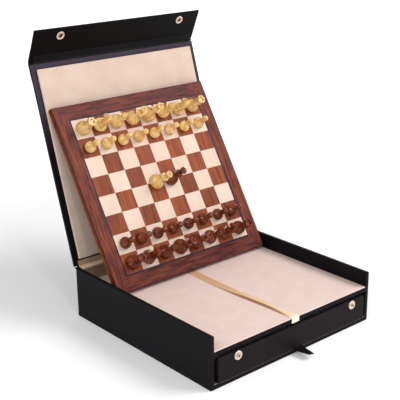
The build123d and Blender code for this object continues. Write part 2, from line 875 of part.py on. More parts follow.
print("lid axis y, z", round(lid_axis_y, 3), round(lid_axis_z, 3), "length", round(lid_length, 3))
print("flap axis", flap_axis, "snap along", snap_along)
print("board foot", board_foot, "lean", board_lean, "out", lean_out)
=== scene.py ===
"""The looks of the chess box: leatherette, velvet, woods, snaps and the photograph's camera."""
import json
from math import atan2, cos, hypot, pi, radians, sin, sqrt

import bpy
from mathutils import Matrix, Vector


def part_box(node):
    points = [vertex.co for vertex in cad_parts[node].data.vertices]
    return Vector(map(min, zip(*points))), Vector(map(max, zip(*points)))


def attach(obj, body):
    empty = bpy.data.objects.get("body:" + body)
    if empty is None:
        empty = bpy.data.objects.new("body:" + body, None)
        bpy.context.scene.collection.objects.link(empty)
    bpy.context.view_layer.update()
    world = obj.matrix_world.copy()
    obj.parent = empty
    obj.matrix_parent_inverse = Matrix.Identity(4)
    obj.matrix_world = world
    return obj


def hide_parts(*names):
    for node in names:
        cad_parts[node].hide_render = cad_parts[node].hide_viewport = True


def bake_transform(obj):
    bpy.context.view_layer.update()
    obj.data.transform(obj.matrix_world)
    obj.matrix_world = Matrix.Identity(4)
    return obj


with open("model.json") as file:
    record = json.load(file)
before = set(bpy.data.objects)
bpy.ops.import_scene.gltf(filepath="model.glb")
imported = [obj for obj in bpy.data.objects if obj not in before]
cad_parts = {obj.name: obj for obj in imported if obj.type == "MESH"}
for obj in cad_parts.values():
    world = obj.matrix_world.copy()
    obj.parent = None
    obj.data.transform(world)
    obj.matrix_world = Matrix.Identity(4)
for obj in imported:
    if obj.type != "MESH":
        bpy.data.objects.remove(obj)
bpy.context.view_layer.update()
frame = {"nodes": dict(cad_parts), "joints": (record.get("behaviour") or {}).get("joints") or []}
nodes = frame["nodes"]

MM = 0.001
X_AXIS = Vector((1, 0, 0))
Z_AXIS = Vector((0, 0, 1))

# ---------------------------------------------------------------- places read from the frame
joints = {joint["name"]: joint for joint in frame["joints"]}
lid_axis = Vector(joints["lid_hinge"]["pos_m"])
flap_axis = Vector(joints["flap_hinge"]["pos_m"])
board_out = Vector(joints["light_men_lift"]["axis"]).normalized()
board_up = Vector((0, board_out.z, -board_out.y))
board_lean = atan2(board_up.z, board_up.y)
lid_open = radians(-joints["lid_hinge"]["range_deg"][0])
flap_open = lid_open - radians(joints["flap_hinge"]["range_deg"][1])
lid_along = Vector((0, -cos(lid_open), sin(lid_open)))
lid_out = Vector((0, sin(lid_open), cos(lid_open)))
flap_along = Vector((0, -cos(flap_open), sin(flap_open)))
flap_out = Vector((0, sin(flap_open), cos(flap_open)))


def reach_along(node, origin, direction):
    """Nearest and furthest reach of a node from a point along a direction."""
    reach = [(vertex.co - origin).dot(direction) for vertex in nodes[node].data.vertices]
    return min(reach), max(reach)


wall_low, wall_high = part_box("left_wall")
half_width = -wall_low.x
wall_thick = wall_high.x - wall_low.x
front_y = wall_low.y
back_y = wall_high.y
wall_top = wall_high.z
deck_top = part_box("deck_lining")[1].z
lid_length = (flap_axis - lid_axis).dot(lid_along)
lid_panel_outer = reach_along("lid_panel", lid_axis, lid_out)[1]
lid_panel_inner = reach_along("lid_panel", lid_axis, lid_out)[0]
flap_panel_outer = reach_along("flap_panel", flap_axis, flap_out)[1]

squares_low, squares_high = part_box("light_squares")
board_middle = (squares_low + squares_high) / 2
board_face = board_middle + board_out * reach_along("light_squares", board_middle, board_out)[1]
square_side = (squares_high.x - squares_low.x) / 8
drawer_front_low, drawer_front_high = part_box("drawer_front")
drawer_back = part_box("drawer_back")[1].y
pad_foot = (lid_axis + lid_along * reach_along("lid_pad", lid_axis, lid_along)[0]).z


# ---------------------------------------------------------------- working in Blender
def deselect_all():
    """Object mode, with nothing selected."""
    if bpy.context.object and bpy.context.object.mode != "OBJECT":
        bpy.ops.object.mode_set(mode="OBJECT")
    bpy.ops.object.select_all(action="DESELECT")


def select_only(obj):
    """Select one object and make it active."""
    deselect_all()
    obj.select_set(True)
    bpy.context.view_layer.objects.active = obj


def keep_place(obj):
    """Put the object's place, turn and size into its mesh."""
    select_only(obj)
    bpy.ops.object.transform_apply(location=True, rotation=True, scale=True)


def apply_modifiers(obj):
    """Put every modifier's result into the mesh."""
    select_only(obj)
    for modifier in list(obj.modifiers):
        bpy.ops.object.modifier_apply(modifier=modifier.name)


def round_edges(obj, width, segments):
    """Bevel every edge sharper than 30 degrees."""
    bevel = obj.modifiers.new("Rounded edges", "BEVEL")
    bevel.width = width
    bevel.segments = segments
    bevel.limit_method = "ANGLE"
    bevel.angle_limit = radians(30)
    apply_modifiers(obj)


def smooth(obj, angle):
    """Shade smooth, apart from edges sharper than an angle in degrees."""
    select_only(obj)
    bpy.ops.object.shade_smooth_by_angle(angle=radians(angle))


def face_outwards(obj):
    """Recalculate the normals so that all faces point outwards."""
    select_only(obj)
    bpy.ops.object.mode_set(mode="EDIT")
    bpy.ops.mesh.select_all(action="SELECT")
    bpy.ops.mesh.normals_make_consistent(inside=False)
    bpy.ops.object.mode_set(mode="OBJECT")


def select_faces(obj, chosen):
    """Edit mode, with the faces selected that a test picks."""
    select_only(obj)
    bpy.ops.object.mode_set(mode="EDIT")
    bpy.ops.mesh.select_mode(type="FACE")
    bpy.ops.mesh.select_all(action="DESELECT")
    bpy.ops.object.mode_set(mode="OBJECT")
    for face in obj.data.polygons:
        face.select = chosen(face)
    bpy.ops.object.mode_set(mode="EDIT")


def select_edges(obj, chosen):
    """Edit mode, with the edges selected whose two ends a test picks."""
    select_only(obj)
    bpy.ops.object.mode_set(mode="EDIT")
    bpy.ops.mesh.select_mode(type="EDGE")
    bpy.ops.mesh.select_all(action="DESELECT")
    bpy.ops.object.mode_set(mode="OBJECT")
    for edge in obj.data.edges:
        edge.select = all(chosen(obj.data.vertices[index].co) for index in edge.vertices)
    bpy.ops.object.mode_set(mode="EDIT")


def dress(obj, material, body=None):
    """Give a new piece its material and the body it rides on."""
    obj.data.materials.clear()
    obj.data.materials.append(material)
    if body:
        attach(obj, body)


def turned_frame(origin, across, along):
    """The placing of a piece whose x runs across and whose y runs along, at a point."""
    up = across.cross(along).normalized()
    return Matrix.Translation(origin) @ Matrix((across, along, up)).transposed().to_4x4()


def srgb(red, green, blue):
    """A colour as seen on screen, 0 to 255, in Blender's linear values."""
    linear = []
    for value in (red, green, blue):
        share = value / 255
        linear.append(share / 12.92 if share <= 0.04045 else ((share + 0.055) / 1.055) ** 2.4)
    return (*linear, 1.0)


# ---------------------------------------------------------------- shader nodes
class Nodes:
    """Short calls for placing and joining shader nodes."""

    def __init__(self, tree):
        self.tree = tree

    def add(self, kind, **settings):
        """A new node with its settings."""
        node = self.tree.nodes.new(kind)
        for name, value in settings.items():
            setattr(node, name, value)
        return node

    def put(self, node, key, value):
        """A plain value, or a link where the value is a socket."""
        if isinstance(value, bpy.types.NodeSocket):
            self.tree.links.new(value, node.inputs[key])
        else:
            node.inputs[key].default_value = value

    def noise(self, vector, scale, detail=3.0, roughness=0.5, distortion=0.0):
        """Smooth noise from 0 to 1."""
        node = self.add("ShaderNodeTexNoise")
        self.put(node, "Vector", vector)
        self.put(node, "Scale", scale)
        self.put(node, "Detail", detail)
        self.put(node, "Roughness", roughness)
        self.put(node, "Distortion", distortion)
        return node.outputs["Fac"]

    def step(self, value, low, high, low_value=0.0, high_value=1.0):
        """A smooth step from one value to another between two inputs."""
        node = self.add("ShaderNodeMapRange", interpolation_type="SMOOTHSTEP")
        self.put(node, "Value", value)
        self.put(node, "From Min", low)
        self.put(node, "From Max", high)
        self.put(node, "To Min", low_value)
        self.put(node, "To Max", high_value)
        return node.outputs["Result"]

    def math(self, operation, first, second=0.0):
        """A sum, product or the like of two values."""
        node = self.add("ShaderNodeMath", operation=operation)
        self.put(node, 0, first)
        self.put(node, 1, second)
        return node.outputs[0]

    def mix(self, share, first, second):
        """The first colour, and a share of the second over it."""
        node = self.add("ShaderNodeMix", data_type="RGBA")
        self.put(node, 0, share)
        self.put(node, 6, first)
        self.put(node, 7, second)
        return node.outputs[2]

    def stretch(self, vector, scale):
        """A vector scaled along each axis: less than 1 draws a pattern out."""
        node = self.add("ShaderNodeMapping")
        self.put(node, "Vector", vector)
        node.inputs["Scale"].default_value = scale
        return node.outputs["Vector"]

    def coordinate(self, vector, axis):
        """One coordinate of a vector."""
        node = self.add("ShaderNodeSeparateXYZ")
        self.put(node, 0, vector)
        return node.outputs[axis]

    def dot(self, vector, direction):
        """How far a vector reaches along a direction."""
        node = self.add("ShaderNodeVectorMath", operation="DOT_PRODUCT")
        self.put(node, 0, vector)
        self.put(node, 1, direction)
        return node.outputs["Value"]

    def group(self, tree, vector, **values):
        """One use of a shared group."""
        node = self.add("ShaderNodeGroup", node_tree=tree)
        self.put(node, "Vector", vector)
        for name, value in values.items():
            self.put(node, name.replace("_", " "), value)
        return node.outputs


def new_group(name, inputs, outputs):
    """A shader node group with named inputs and outputs."""
    tree = bpy.data.node_groups.new(name, "ShaderNodeTree")
    kinds = {"value": "NodeSocketFloat", "vector": "NodeSocketVector"}
    for label, kind in inputs:
        tree.interface.new_socket(label, in_out="INPUT", socket_type=kinds[kind])
    for label in outputs:
        tree.interface.new_socket(label, in_out="OUTPUT", socket_type="NodeSocketFloat")
    entry = tree.nodes.new("NodeGroupInput")
    leave = tree.nodes.new("NodeGroupOutput")
    return tree, Nodes(tree), entry.outputs, leave


def make_pebble_group():
    """The fine pebbled grain of leatherette, and its slow change of shade."""
    tree, n, entry, leave = new_group(
        "pebble_grain", [("Vector", "vector"), ("Scale", "value")], ["Height", "Shade"]
    )
    cells = n.add("ShaderNodeTexVoronoi", feature="SMOOTH_F1")
    n.put(cells, "Vector", entry["Vector"])
    n.put(cells, "Scale", entry["Scale"])
    fine = n.noise(entry["Vector"], n.math("MULTIPLY", entry["Scale"], 2.2), 2.0)
    pebbles = n.math("MULTIPLY", cells.outputs["Distance"], 0.8)
    n.put(leave, "Height", n.math("SUBTRACT", n.math("MULTIPLY", fine, 0.3), pebbles))
    n.put(leave, "Shade", n.noise(entry["Vector"], 14.0, 5.0, 0.6))
    return tree


def make_grain_group():
    """Wood grain along Y: broad figure, dark veins and pores."""
    tree, n, entry, leave = new_group(
        "wood_grain",
        [("Vector", "vector"), ("Scale", "value"), ("Offset", "value")],
        ["Figure", "Veins", "Pores"],
    )
    jump = n.add("ShaderNodeCombineXYZ")
    n.put(jump, "X", entry["Offset"])
    n.put(jump, "Y", n.math("MULTIPLY", entry["Offset"], 2.7))
    n.put(jump, "Z", n.math("MULTIPLY", entry["Offset"], 1.3))
    moved = n.add("ShaderNodeVectorMath", operation="ADD")
    n.put(moved, 0, entry["Vector"])
    n.put(moved, 1, jump.outputs[0])
    place = moved.outputs[0]

    def streaks(drawn_out, finer, *settings):
        """Noise drawn out along Y, and finer than the grain's scale by a factor."""
        scale = n.math("MULTIPLY", entry["Scale"], finer)
        return n.noise(n.stretch(place, (1, drawn_out, 1)), scale, *settings)

    n.put(leave, "Figure", streaks(0.12, 1.0, 4.0, 0.55, 0.5))
    n.put(leave, "Veins", n.step(streaks(0.05, 2.6, 4.0, 0.65, 0.8), 0.5, 0.66))
    n.put(leave, "Pores", n.step(streaks(0.06, 14.0, 2.0, 0.7), 0.56, 0.7))
    return tree


def make_nap_group():
    """The short pile of velvet: brushed patches and fine fibres."""
    tree, n, entry, leave = new_group("velvet_nap", [("Vector", "vector")], ["Patches", "Fibres"])
    n.put(leave, "Patches", n.noise(entry["Vector"], 34.0, 4.0, 0.6, 0.4))
    n.put(leave, "Fibres", n.noise(entry["Vector"], 1300.0, 3.0, 0.7))
    return tree


def make_wear_and_highlight_group():
    """Rubbed edges, also painted paler as a highlight along them: where a rounded edge turns away
    from the flat, broken up by noise.
    """
    tree, n, entry, leave = new_group(
        "edge_wear_and_highlight", [("Vector", "vector"), ("Amount", "value")], ["Mask"]
    )
    rounded = n.add("ShaderNodeBevel", samples=6)
    rounded.inputs["Radius"].default_value = 1.2 * MM
    flat = n.add("ShaderNodeNewGeometry").outputs["Normal"]
    turn = n.dot(rounded.outputs["Normal"], flat)
    edge = n.step(turn, 0.8, 0.98, 1.0, 0.0)
    broken = n.step(n.noise(entry["Vector"], 120.0, 4.0, 0.65), 0.3, 0.6, 0.35, 1.0)
    n.put(leave, "Mask", n.math("MULTIPLY", n.math("MULTIPLY", edge, broken), entry["Amount"]))
    return tree


pebble_grain = make_pebble_group()
wood_grain = make_grain_group()
velvet_nap = make_nap_group()
edge_wear_and_highlight = make_wear_and_highlight_group()


def new_material(name):
    """A material, its nodes, its shader and its Object coordinates."""
    material = bpy.data.materials.new(name)
    material.use_nodes = True
    n = Nodes(material.node_tree)
    shader = material.node_tree.nodes["Principled BSDF"]
    return material, n, shader, n.add("ShaderNodeTexCoord").outputs["Object"]


def set_bump(n, shader, height, strength, distance):
    """Bump from a height, which is distance deep at its most."""
    node = n.add("ShaderNodeBump")
    n.put(node, "Height", height)
    node.inputs["Strength"].default_value = strength
    node.inputs["Distance"].default_value = distance
    n.put(shader, "Normal", node.outputs["Normal"])


# ---------------------------------------------------------------- materials
pebbles_per_metre = 1000.0
# rubbed edges, painted purple-grey both as wear and as a painted edge highlight
wear_and_edge_highlight = srgb(66, 60, 74)
crease_shadow = srgb(52, 38, 32)
board_edge_colours = (srgb(72, 24, 5), srgb(110, 41, 10), srgb(133, 54, 17))
glue_line = srgb(40, 16, 14)
black_paper = srgb(14, 12, 13)
# painted shade in the snaps' dish and a painted shadow in their bore
snap_dish_shade = srgb(164, 120, 84)
snap_bore_shadow = srgb(24, 19, 17)
# painted shade to the ribbon's rear and on its left-facing slope, a painted highlight at its fold
satin_rear_shade = srgb(206, 158, 112)
satin_left_shade = srgb(158, 98, 50)
satin_fold_highlight = srgb(255, 246, 232)
velvet_sheen = 0.12


def make_leatherette(name, base, shade, roughness, patch=None):
    """Black grained leatherette with rubbed edges, painted paler both as wear and as an edge
    highlight.

    A patch gives the mask and the colour of a place that looks different.
    """
    material, n, shader, place = new_material(name)
    grain = n.group(pebble_grain, place, Scale=pebbles_per_metre)
    wear_and_highlight = n.group(edge_wear_and_highlight, place, Amount=0.6)
    colour = n.mix(n.step(grain["Shade"], 0.3, 0.75), base, shade)
    # paler edges: wear, and a painted highlight along them
    colour = n.mix(wear_and_highlight["Mask"], colour, wear_and_edge_highlight)
    if patch:
        mask, tint = patch(n, place)
        colour = n.mix(mask, colour, tint)
    n.put(shader, "Base Color", colour)
    n.put(shader, "Roughness", n.step(grain["Shade"], 0.3, 0.75, roughness, roughness + 0.1))
    shader.inputs["Specular IOR Level"].default_value = 0.06
    set_bump(n, shader, grain["Height"], 0.3, 0.3 * MM)
    return material


def velvet_colour(n, nap, light, dark, shade):
    """Two shades mixed by a mask, with fine darker fibres between."""
    colour = n.mix(shade, dark, light)
    return n.mix(n.step(nap["Fibres"], 0.35, 0.75, 0.0, 0.25), colour, dark)


def velvet_surface(n, shader, nap):
    """The dull face of short pile."""
    n.put(shader, "Roughness", n.step(nap["Patches"], 0.3, 0.7, 0.88, 1.0))
    shader.inputs["Specular IOR Level"].default_value = 0.1
    set_bump(n, shader, nap["Fibres"], 0.3, 0.4 * MM)


def make_velvet(name, light, dark):
    """Short velvet, brushed a little unevenly."""
    material, n, shader, place = new_material(name)
    nap = n.group(velvet_nap, place)
    brushed = n.step(nap["Patches"], 0.3, 0.72)
    n.put(shader, "Base Color", velvet_colour(n, nap, light, dark, brushed))
    shader.inputs["Sheen Weight"].default_value = velvet_sheen
    shader.inputs["Sheen Roughness"].default_value = 0.5
    velvet_surface(n, shader, nap)
    return material


def make_crease_velvet(name, light, dark):
    """The velvet over the lid's hinge: painted light on the roll, painted shade in the crease above
    it and a painted shadow under the pad.
    """
    material, n, shader, place = new_material(name)
    nap = n.group(velvet_nap, place)
    uneven = n.math("MULTIPLY", nap["Patches"], 1.5 * MM)
    ragged_height = n.math("ADD", n.coordinate(place, "Z"), uneven)
    # painted light on the roll below, painted shade in the crease above
    lit_roll = n.step(ragged_height, wall_top + 1.2 * MM, wall_top + 3.2 * MM, 1.0, 0.0)
    colour = velvet_colour(n, nap, light, dark, lit_roll)
    # a painted shadow just under the pad's foot
    pad_shadow = n.step(ragged_height, pad_foot - 2.2 * MM, pad_foot - 0.8 * MM)
    n.put(shader, "Base Color", n.mix(pad_shadow, colour, crease_shadow))
    velvet_surface(n, shader, nap)
    return material


def board_place(n, place, turn=0.0):
    """Coordinates on the board: x across, y up, z out of its face, then turned about z."""
    flat = n.add("ShaderNodeMapping", vector_type="TEXTURE")
    n.put(flat, "Vector", place)
    flat.inputs["Location"].default_value = board_face
    flat.inputs["Rotation"].default_value = (board_lean, 0, 0)
    if not turn:
        return flat.outputs["Vector"]
    turned_place = n.add("ShaderNodeMapping")
    n.put(turned_place, "Vector", flat.outputs["Vector"])
    turned_place.inputs["Rotation"].default_value = (0, 0, turn)
    return turned_place.outputs["Vector"]


def square_pick(n, place):
    """A random value for each square of the board; the count starts far outside it."""
    count_from = 40.0
    whole = n.add("ShaderNodeCombineXYZ")
    for axis in ("X", "Y"):
        count = n.math("DIVIDE", n.coordinate(place, axis), square_side)
        n.put(whole, axis, n.math("FLOOR", n.math("ADD", count, count_from)))
    pick = n.add("ShaderNodeTexWhiteNoise", noise_dimensions="2D")
    n.put(pick, "Vector", whole.outputs[0])
    return pick.outputs["Value"]


def wood_colour(n, grain, colours, vein_share, pore_share):
    """Figure in the middle and light colour, with veins and pores in the dark one."""
    dark, middle, light = colours
    colour = n.mix(n.step(grain["Figure"], 0.32, 0.68), middle, light)
    colour = n.mix(n.math("MULTIPLY", grain["Veins"], vein_share), colour, dark)
    return n.mix(n.math("MULTIPLY", grain["Pores"], pore_share), colour, dark)


def lacquer(shader, specular, coat, coat_roughness):
    """The gloss of a finish over the wood."""
    shader.inputs["Specular IOR Level"].default_value = specular
    shader.inputs["Coat Weight"].default_value = coat
    shader.inputs["Coat Roughness"].default_value = coat_roughness


def make_rail_wood(name, colours, turn, seed):
    """The frame's figured rosewood, with a bright cut edge under a dark glue line."""
    material, n, shader, place = new_material(name)
    flat = board_place(n, place)
    grain = n.group(wood_grain, board_place(n, place, turn), Scale=190.0, Offset=seed)
    colour = wood_colour(n, grain, colours, 0.8, 0.7)
    depth = n.math("MULTIPLY", n.coordinate(flat, "Z"), -1.0)
    cut = n.group(wood_grain, place, Scale=160.0, Offset=seed)
    side = wood_colour(n, cut, board_edge_colours, 0.6, 0.3)
    colour = n.mix(n.step(depth, 0.5 * MM, 0.8 * MM), colour, glue_line)
    colour = n.mix(n.step(depth, 3.2 * MM, 3.8 * MM), colour, side)
    n.put(shader, "Base Color", colour)
    n.put(shader, "Roughness", n.step(grain["Figure"], 0.3, 0.7, 0.34, 0.46))
    lacquer(shader, 0.07, 0.02, 0.2)
    set_bump(n, shader, grain["Pores"], 0.08, 0.2 * MM)
    return material


def make_square_wood(name, colours, vein_share, scale):
    """Veneer squares: the grain runs up the board and each square is another piece of wood."""
    dark, middle, light = colours
    material, n, shader, place = new_material(name)
    flat = board_place(n, place)
    pick = square_pick(n, flat)
    grain = n.group(wood_grain, flat, Scale=scale, Offset=n.math("MULTIPLY", pick, 3.0))
    colour = wood_colour(n, grain, colours, vein_share, 0.25)
    tone = n.mix(n.step(pick, 0.0, 1.0), middle, n.mix(n.step(pick, 0.35, 0.65), light, dark))
    n.put(shader, "Base Color", n.mix(0.3, colour, tone))
    n.put(shader, "Roughness", n.step(grain["Figure"], 0.3, 0.7, 0.36, 0.48))
    lacquer(shader, 0.1, 0.03, 0.22)
    set_bump(n, shader, grain["Pores"], 0.06, 0.2 * MM)
    return material


def make_turned_wood(name, colours, coat, scale):
    """Polished wood of the turned men, its grain running up each man, painted darker towards their
    outlines as shade and dark reflection.
    """
    material, n, shader, place = new_material(name)
    upright = n.add("ShaderNodeMapping")
    n.put(upright, "Vector", board_place(n, place))
    upright.inputs["Rotation"].default_value = (pi / 2, 0, 0)
    grain = n.group(wood_grain, upright.outputs["Vector"], Scale=scale, Offset=0.3)
    colour = wood_colour(n, grain, colours, 0.45, 0.2)
    # darker towards the outline: painted shade and dark reflection
    rim = n.add("ShaderNodeLayerWeight").outputs["Facing"]
    n.put(shader, "Base Color", n.mix(n.step(rim, 0.3, 0.9, 0.0, 0.75), colour, colours[0]))
    n.put(shader, "Roughness", n.step(grain["Figure"], 0.3, 0.7, 0.24, 0.34))
    lacquer(shader, 0.12, coat, 0.04)
    n.put(shader, "Coat Weight", n.step(rim, 0.35, 0.8, coat, 0.1 * coat))
    set_bump(n, shader, grain["Veins"], 0.05, 0.2 * MM)
    return material


def make_board_wood(name, colours, papered=False):
    """Bare board wood, its grain from front to back; the drawer's outer faces may be papered."""
    material, n, shader, place = new_material(name)
    grain = n.group(wood_grain, place, Scale=70.0, Offset=0.0)
    colour = wood_colour(n, grain, colours, 0.5, 0.3)
    if papered:
        half = drawer_front_high.x - 0.5 * MM
        across = n.math("ABSOLUTE", n.coordinate(place, "X"))
        outside = n.step(across, half, half + 0.2 * MM)
        behind = n.step(
            n.coordinate(place, "Y"), drawer_back - 0.5 * MM, drawer_back - 0.3 * MM
        )
        colour = n.mix(n.math("MAXIMUM", outside, behind), colour, black_paper)
        shader.inputs["Specular IOR Level"].default_value = 0.25
    n.put(shader, "Base Color", colour)
    n.put(shader, "Roughness", n.step(grain["Figure"], 0.3, 0.7, 0.55, 0.7))
    set_bump(n, shader, grain["Veins"], 0.12, 0.3 * MM)
    return material


def make_metal(name, colour, shade, roughness):
    """Plated metal: its sunk attribute runs from 0, bright, over a dish in painted brown shade to
    1, a bore in painted dark shadow.
    """
    material, n, shader, place = new_material(name)
    blotch = n.noise(place, 260.0, 3.0, 0.6)
    sunk = n.add("ShaderNodeAttribute", attribute_name="sunk").outputs["Fac"]
    plate = n.mix(n.step(blotch, 0.35, 0.7), colour, shade)
    dish = n.mix(n.step(sunk, 0.1, 0.5), plate, snap_dish_shade)
    n.put(shader, "Base Color", n.mix(n.step(sunk, 0.55, 0.95), dish, snap_bore_shadow))
    n.put(shader, "Roughness", n.step(blotch, 0.3, 0.7, roughness, roughness + 0.14))
    n.put(shader, "Metallic", n.step(sunk, 0.0, 1.0, 0.75, 0.3))
    set_bump(n, shader, n.noise(place, 900.0, 2.0), 0.06, 0.2 * MM)
    return material


def make_satin(name, light, dark):
    """Satin ribbon: fine ribs across it; painted shade browner to the rear and on its left, and a
    painted highlight white at its fold.
    """
    material, n, shader, place = new_material(name)
    ribs = n.add("ShaderNodeTexWave", wave_type="BANDS", bands_direction="Y")
    n.put(ribs, "Vector", place)
    ribs.inputs["Scale"].default_value = 420.0
    ribs.inputs["Distortion"].default_value = 0.6
    patches = n.noise(n.stretch(place, (1, 0.25, 1)), 60.0, 2.0)
    colour = n.mix(n.step(patches, 0.3, 0.7), light, dark)
    colour = n.mix(n.math("MULTIPLY", ribs.outputs["Fac"], 0.25), colour, dark)
    run = n.coordinate(place, "Y")
    # painted shade towards the rear
    colour = n.mix(n.step(run, -120 * MM, 10 * MM, 0.0, 0.75), colour, satin_rear_shade)
    # painted shade on the slopes that face left
    faces_left = n.coordinate(n.add("ShaderNodeNewGeometry").outputs["Normal"], "X")
    colour = n.mix(n.step(faces_left, -0.5, -0.12, 0.85, 0.0), colour, satin_left_shade)
    # a painted highlight at the fold over the front
    fold = n.step(run, front_y + 1 * MM, front_y + 9 * MM, 0.7, 0.0)
    n.put(shader, "Base Color", n.mix(fold, colour, satin_fold_highlight))
    n.put(shader, "Roughness", n.step(patches, 0.3, 0.7, 0.3, 0.4))
    shader.inputs["Sheen Weight"].default_value = 0.2
    shader.inputs["Sheen Roughness"].default_value = 0.3
    set_bump(n, shader, ribs.outputs["Fac"], 0.2, 0.2 * MM)
    return material


def make_felt(name, light, dark):
    """Thin pressed felt."""
    material, n, shader, place = new_material(name)
    fluff = n.noise(place, 700.0, 4.0, 0.75)
    n.put(shader, "Base Color", n.mix(n.step(fluff, 0.3, 0.7), dark, light))
    n.put(shader, "Roughness", n.step(fluff, 0.3, 0.7, 0.9, 1.0))
    shader.inputs["Sheen Weight"].default_value = 0.2
    set_bump(n, shader, fluff, 0.3, 0.4 * MM)
    return material


leatherette = make_leatherette("black_leatherette", srgb(16, 14, 17), srgb(23, 20, 24), 0.44)
# a painted sheen, paler and purple-grey, on the lid's inner border and its side of the fold
lid_border_sheen = srgb(61, 52, 64)
lid_face = lid_axis.dot(lid_out) + lid_panel_inner
lid_start = lid_axis.dot(lid_along)


def lid_border_sheen_patch(n, place):
    """The lid's inner face, painted paler towards the flap: a painted sheen."""
    inner = n.step(n.dot(place, lid_out), lid_face + 0.2 * MM, lid_face + 0.6 * MM, 1.0, 0.0)
    fade_low, fade_high = lid_start + 0.54 * lid_length, lid_start + 0.78 * lid_length
    upper = n.step(n.dot(place, lid_along), fade_low, fade_high)
    return n.math("MULTIPLY", inner, upper), lid_border_sheen


def fold_sheen_patch(n, place):
    """The lid's side of the fold, with the same painted sheen as the lid's border."""
    fold = lid_start + lid_length
    lid_side = n.step(n.dot(place, lid_along), fold - 3.6 * MM, fold - 2.4 * MM, 1.0, 0.0)
    return lid_side, lid_border_sheen


def hem_patch(n, place):
    """The brown backing that shows along the hem of the drawer's front."""
    rough_cut = n.math("MULTIPLY", n.noise(place, 300.0, 2.0), 0.6 * MM)
    height = n.math("ADD", n.coordinate(place, "Z"), rough_cut)
    foot = drawer_front_low.z
    hem = n.step(height, foot + 0.9 * MM, foot + 1.5 * MM, 0.6, 0.0)
    return hem, srgb(140, 112, 104)


lid_leatherette = make_leatherette(
    "lid_leatherette", srgb(16, 14, 17), srgb(23, 20, 24), 0.44, lid_border_sheen_patch
)
inside_leatherette = make_leatherette("inside_leatherette", srgb(9, 6, 7), srgb(13, 10, 11), 0.46)
# paler than the flap's inside: a painted highlight along the fold
fold_highlight_leatherette = make_leatherette(
    "fold_highlight_leatherette", srgb(18, 17, 20), srgb(25, 24, 28), 0.46, fold_sheen_patch
)
drawer_leatherette = make_leatherette(
    "drawer_leatherette", srgb(26, 21, 23), srgb(34, 28, 30), 0.44, hem_patch
)
velvet = make_velvet("beige_velvet", srgb(231, 207, 198), srgb(225, 199, 189))
lid_velvet = make_velvet("lid_velvet", srgb(214, 191, 176), srgb(207, 182, 165))
# a lit and a shaded colour: painted light on the roll, painted shade in the crease
ridge_velvet = make_crease_velvet("ridge_velvet", srgb(246, 212, 182), srgb(172, 142, 120))
# a darker copy of the velvet: painted shade on the back wall and in the bay under the drawer
shaded_velvet = make_velvet("shaded_back_velvet", srgb(170, 138, 114), srgb(152, 122, 100))
upright_rosewood = make_rail_wood(
    "upright_rosewood", (srgb(27, 13, 25), srgb(92, 43, 38), srgb(138, 70, 50)), 0.0, 0.7
)
level_rosewood = make_rail_wood(
    "level_rosewood", (srgb(24, 12, 26), srgb(82, 38, 38), srgb(126, 63, 48)), pi / 2, 1.9
)
dark_veneer = make_square_wood(
    "rosewood_veneer", (srgb(66, 25, 22), srgb(134, 62, 35), srgb(163, 84, 46)), 0.9, 95.0
)
light_veneer = make_square_wood(
    "maple_veneer", (srgb(210, 181, 157), srgb(223, 198, 179), srgb(231, 209, 194)), 0.4, 50.0
)
navy_inlay = make_square_wood(
    "dark_inlay", (srgb(28, 28, 42), srgb(36, 36, 54), srgb(44, 44, 64)), 0.5, 80.0
)
boxwood = make_turned_wood(
    "boxwood", (srgb(150, 96, 38), srgb(222, 174, 98), srgb(246, 212, 148)), 0.4, 150.0
)
stained_rosewood = make_turned_wood(
    "stained_rosewood", (srgb(24, 6, 2), srgb(88, 27, 6), srgb(140, 58, 20)), 0.8, 150.0
)
board_colours = (srgb(140, 100, 64), srgb(170, 130, 88), srgb(188, 150, 106))
drawer_wood = make_board_wood("drawer_wood", board_colours, papered=True)
core_wood = make_board_wood("core_wood", board_colours)
# nearly black: painted shade for the gap beside the drawer front, where the guides show
dark_strip_wood = make_board_wood(
    "dark_strip_wood", (srgb(16, 13, 12), srgb(26, 22, 20), srgb(32, 28, 26))
)
snap_metal = make_metal("snap_metal", srgb(236, 220, 206), srgb(204, 184, 168), 0.3)
sheet_steel = make_metal("sheet_steel", srgb(172, 172, 174), srgb(150, 150, 152), 0.35)
satin = make_satin("ribbon_satin", srgb(252, 228, 196), srgb(236, 200, 154))
felt = make_felt("dark_felt", srgb(46, 40, 38), srgb(28, 24, 24))

men_kinds = ("pawns", "rooks", "knights", "bishops", "queen", "king", "spare_queen")
node_materials = (
    (leatherette, (
        "base_board", "left_wall", "right_wall", "back_wall", "deck_shelf", "lid_hinge",
        "flap_hinge",
    )),
    (lid_leatherette, ("lid_panel",)),
    (inside_leatherette, ("flap_panel",)),
    (drawer_leatherette, ("drawer_front",)),
    (dark_strip_wood, ("drawer_guides",)),
    (drawer_wood, ("drawer_left_side", "drawer_right_side", "drawer_back", "drawer_floor")),
    (core_wood, ("board_core",)),
    (snap_metal, ("drawer_rivets",)),
    (upright_rosewood, ("board_left_rail", "board_right_rail")),
    (level_rosewood, ("board_front_rail", "board_rear_rail")),
    (navy_inlay, ("inlay_line",)),
    (light_veneer, ("light_squares",)),
    (dark_veneer, ("dark_squares",)),
    (sheet_steel, ("board_steel_plate", "light_magnets", "dark_magnets")),
    (felt, ("board_backing", "light_felts", "dark_felts")),
    (boxwood, tuple(f"light_{kind}" for kind in men_kinds)),
    (stained_rosewood, tuple(f"dark_{kind}" for kind in men_kinds)),
)
for material, names in node_materials:
    for name in names:
        for slot in nodes[name].material_slots:
            slot.material = material


# ---------------------------------------------------------------- velvet panels
crown_steps = 3
crown_inset = 0.12


